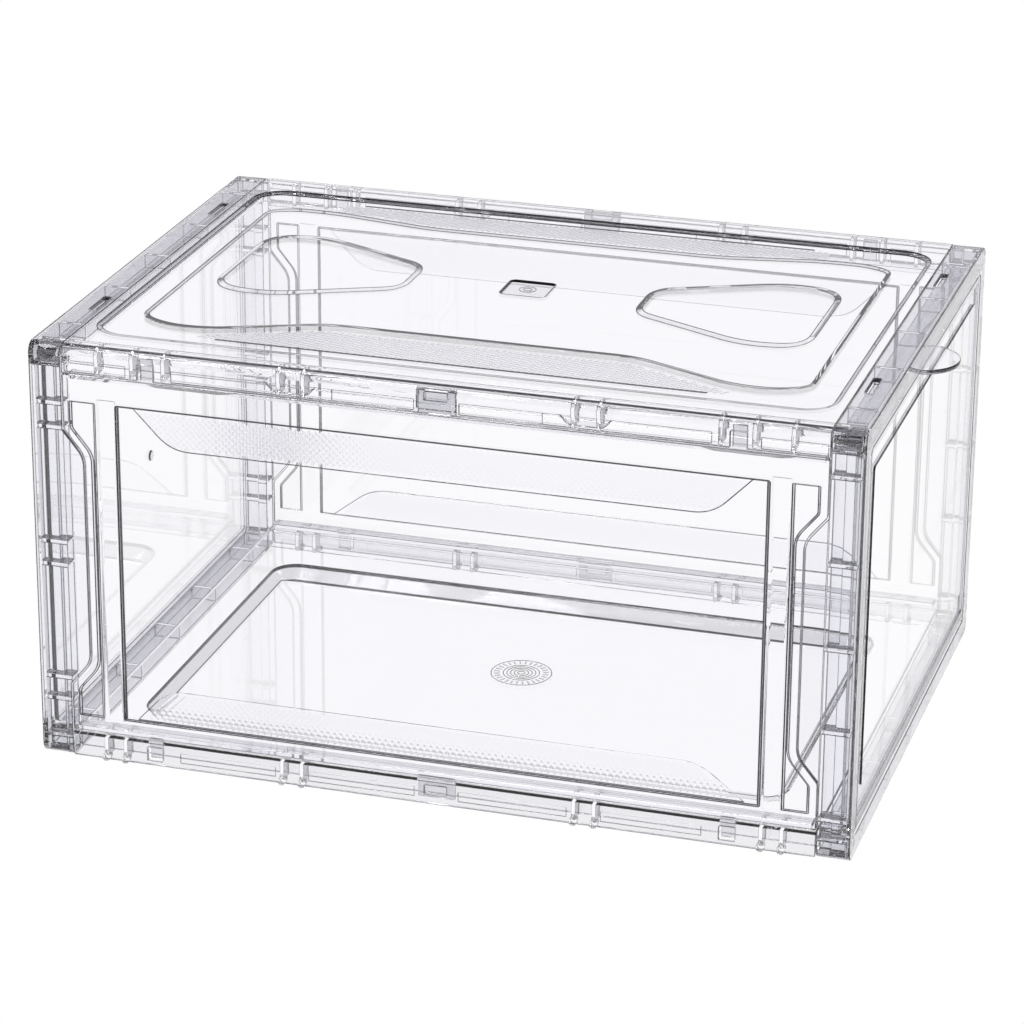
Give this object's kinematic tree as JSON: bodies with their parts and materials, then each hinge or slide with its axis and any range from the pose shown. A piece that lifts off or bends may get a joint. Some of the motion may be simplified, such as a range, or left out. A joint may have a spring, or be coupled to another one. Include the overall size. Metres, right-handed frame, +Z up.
{
  "type": "shoe box",
  "caption": "Clear stackable storage box for a pair of shoes, snapped together from moulded panels, with a drop-down end door.",
  "frame": {"origin": "centre of the footprint of the whole box, pull tab included, on the plane it stands on", "axes": "+X along the length towards the door end, +Y from the front long side to the back, +Z up"},
  "size_m": [0.3628, 0.25, 0.185],
  "materials": {
    "clear_panel": "clear, nearly colourless moulded plastic with a faint lavender cast, glossy",
    "clear_frame": "the same clear plastic, greyer where walls and ribs lie one behind another",
    "clear_door": "clear moulded plastic, glossy, flat"
  },
  "bodies": {
    "case": {"rear_frame": "clear_frame", "door_frame": "clear_frame", "rear_panel": "clear_panel", "front_panel": "clear_panel", "back_panel": "clear_panel", "top_panel": "clear_panel", "bottom_panel": "clear_panel"},
    "door_leaf": {"door": "clear_door"}
  },
  "joints": [
    {"name": "door_hinge", "type": "hinge", "parent": "case", "child": "door_leaf", "pos_m": [0.166, 0, 0.0114], "axis": [0, 1, 0], "range_deg": [0, 88]}
  ]
}
